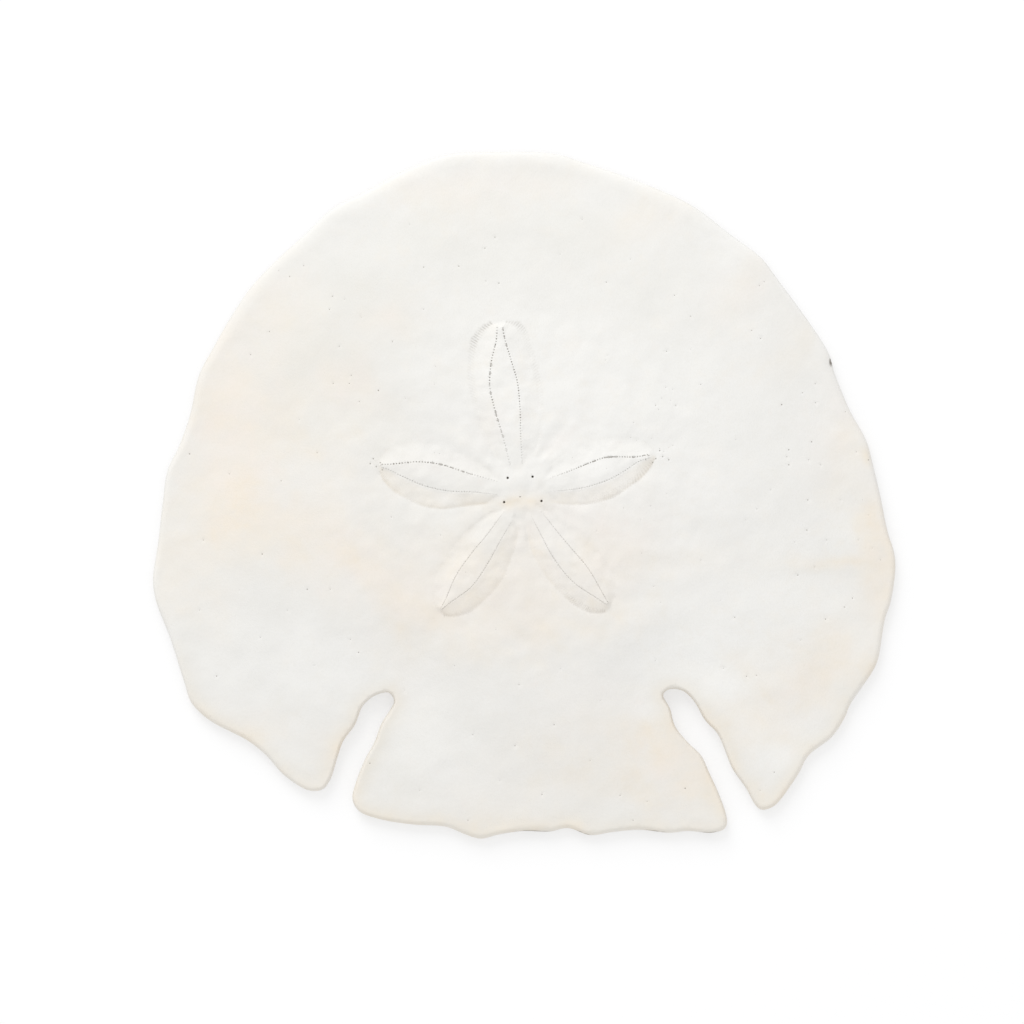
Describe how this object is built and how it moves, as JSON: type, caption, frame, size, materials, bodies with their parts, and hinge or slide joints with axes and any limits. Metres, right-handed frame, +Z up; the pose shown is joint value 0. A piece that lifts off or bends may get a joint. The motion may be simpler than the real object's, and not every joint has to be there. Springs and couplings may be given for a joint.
{
  "type": "sand dollar",
  "caption": "Flat, faintly domed dried sea-urchin test with a wavy margin, two open rear notches, five raised petals of pore rows, and a grooved flat underside with a central mouth",
  "frame": {"origin": "centre of the bounding box in plan, on the surface that the flat underside rests on", "axes": "+Z up out of the domed side, +Y towards the plain front edge, +X to the animal's right seen from above; the two notches open towards -Y"},
  "size_m": [0.1262, 0.1168, 0.0091],
  "materials": {
    "dry_test": "dry, chalky off-white lime with faint tan stains"
  },
  "bodies": {
    "root": {"shell": "dry_test"}
  },
  "joints": []
}
